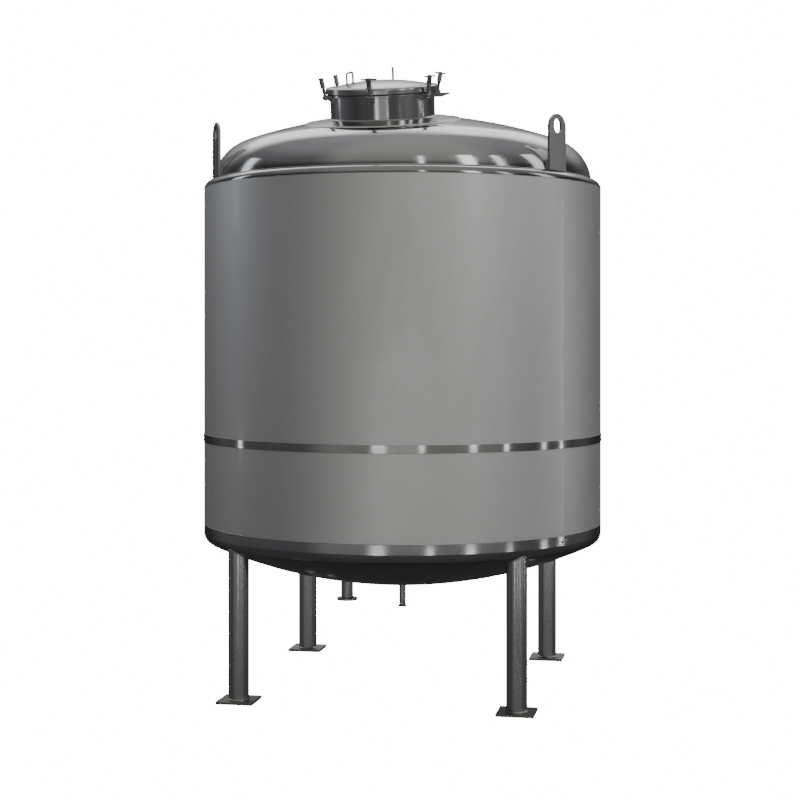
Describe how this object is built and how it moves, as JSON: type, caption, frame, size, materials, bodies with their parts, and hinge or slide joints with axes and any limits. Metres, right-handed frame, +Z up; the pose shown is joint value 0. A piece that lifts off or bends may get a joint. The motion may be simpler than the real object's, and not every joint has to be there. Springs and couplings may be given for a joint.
{
  "type": "vertical storage tank",
  "caption": "Upright insulated process tank with dished ends on pipe legs, with a hinged manway on the roof, lifting lugs round the top and outlets under the bottom.",
  "frame": {"origin": "on the floor, on the axis of the tank, midway between the foot plates", "axes": "+Z up along the tank's axis; -Y is the front, the side of the roof that the manway is on; +X is to the right seen from the front"},
  "size_m": [1.8046, 1.8046, 2.7591],
  "materials": {
    "bottom_head": "polished stainless steel",
    "cladding_band": "polished stainless steel",
    "cladding_lower_1": "matte satin stainless steel",
    "cladding_lower_2": "matte satin stainless steel",
    "cladding_lower_3": "matte satin stainless steel",
    "cladding_upper_1": "matte satin stainless steel",
    "cladding_upper_2": "matte satin stainless steel",
    "cladding_upper_3": "matte satin stainless steel",
    "closure_ring": "polished stainless steel",
    "cover_handle": "polished stainless steel",
    "cover_hinge_leaf": "satin stainless steel",
    "drain_pipe": "satin stainless steel",
    "foot_plate_1": "satin stainless steel",
    "foot_plate_2": "satin stainless steel",
    "foot_plate_3": "satin stainless steel",
    "foot_plate_4": "satin stainless steel",
    "handle_nut_1": "polished stainless steel",
    "handle_nut_2": "polished stainless steel",
    "handle_nut_3": "polished stainless steel",
    "handle_nut_4": "polished stainless steel",
    "handle_nut_5": "polished stainless steel",
    "leg_1": "satin stainless steel",
    "leg_2": "satin stainless steel",
    "leg_3": "satin stainless steel",
    "leg_4": "satin stainless steel",
    "lifting_lug_1": "satin stainless steel",
    "lifting_lug_2": "satin stainless steel",
    "lifting_lug_3": "satin stainless steel",
    "manway_cover": "polished stainless steel",
    "manway_gasket": "black rubber",
    "manway_neck": "polished stainless steel",
    "manway_pad": "polished stainless steel",
    "outlet_nozzle": "satin stainless steel",
    "swing_bolt_1": "satin stainless steel",
    "swing_bolt_2": "satin stainless steel",
    "swing_bolt_3": "satin stainless steel",
    "swing_bolt_4": "satin stainless steel",
    "swing_bolt_5": "satin stainless steel",
    "top_head": "polished stainless steel",
    "vessel_bottom": "satin stainless steel",
    "vessel_wall_1": "satin stainless steel",
    "vessel_wall_2": "satin stainless steel"
  },
  "bodies": {
    "root": {"bottom_head": "bottom_head", "cladding_band": "cladding_band", "cladding_lower_1": "cladding_lower_1", "cladding_lower_2": "cladding_lower_2", "cladding_lower_3": "cladding_lower_3", "cladding_upper_1": "cladding_upper_1", "cladding_upper_2": "cladding_upper_2", "cladding_upper_3": "cladding_upper_3", "closure_ring": "closure_ring", "drain_pipe": "drain_pipe", "foot_plate_1": "foot_plate_1", "foot_plate_2": "foot_plate_2", "foot_plate_3": "foot_plate_3", "foot_plate_4": "foot_plate_4", "leg_1": "leg_1", "leg_2": "leg_2", "leg_3": "leg_3", "leg_4": "leg_4", "lifting_lug_1": "lifting_lug_1", "lifting_lug_2": "lifting_lug_2", "lifting_lug_3": "lifting_lug_3", "manway_gasket": "manway_gasket", "manway_neck": "manway_neck", "manway_pad": "manway_pad", "outlet_nozzle": "outlet_nozzle", "top_head": "top_head", "vessel_bottom": "vessel_bottom", "vessel_wall_1": "vessel_wall_1", "vessel_wall_2": "vessel_wall_2"},
    "cover": {"manway_cover": "manway_cover", "cover_handle": "cover_handle", "cover_hinge_leaf": "cover_hinge_leaf"},
    "bolt_1": {"swing_bolt_1": "swing_bolt_1", "handle_nut_1": "handle_nut_1"},
    "bolt_2": {"swing_bolt_2": "swing_bolt_2", "handle_nut_2": "handle_nut_2"},
    "bolt_3": {"swing_bolt_3": "swing_bolt_3", "handle_nut_3": "handle_nut_3"},
    "bolt_4": {"swing_bolt_4": "swing_bolt_4", "handle_nut_4": "handle_nut_4"},
    "bolt_5": {"swing_bolt_5": "swing_bolt_5", "handle_nut_5": "handle_nut_5"}
  },
  "joints": [
    {"name": "cover_hinge", "type": "hinge", "parent": "root", "child": "cover", "pos_m": [0, -0.20122, 2.68409], "axis": [-1, 0, 0], "range_deg": [0, 110]},
    {"name": "bolt_1_hinge", "type": "hinge", "parent": "root", "child": "bolt_1", "pos_m": [0, -0.70667, 2.55029], "axis": [1, 0, 0], "range_deg": [0, 95]},
    {"name": "bolt_2_hinge", "type": "hinge", "parent": "root", "child": "bolt_2", "pos_m": [0.21997, -0.58223, 2.57569], "axis": [0.5, 0.8485, 0.1732], "range_deg": [0, 95]},
    {"name": "bolt_3_hinge", "type": "hinge", "parent": "root", "child": "bolt_3", "pos_m": [0.21997, -0.33337, 2.62649], "axis": [-0.5, 0.8485, 0.1732], "range_deg": [0, 95]},
    {"name": "bolt_4_hinge", "type": "hinge", "parent": "root", "child": "bolt_4", "pos_m": [-0.21997, -0.33337, 2.62649], "axis": [-0.5, -0.8485, -0.1732], "range_deg": [0, 95]},
    {"name": "bolt_5_hinge", "type": "hinge", "parent": "root", "child": "bolt_5", "pos_m": [-0.21997, -0.58223, 2.57569], "axis": [0.5, -0.8485, -0.1732], "range_deg": [0, 95]}
  ]
}
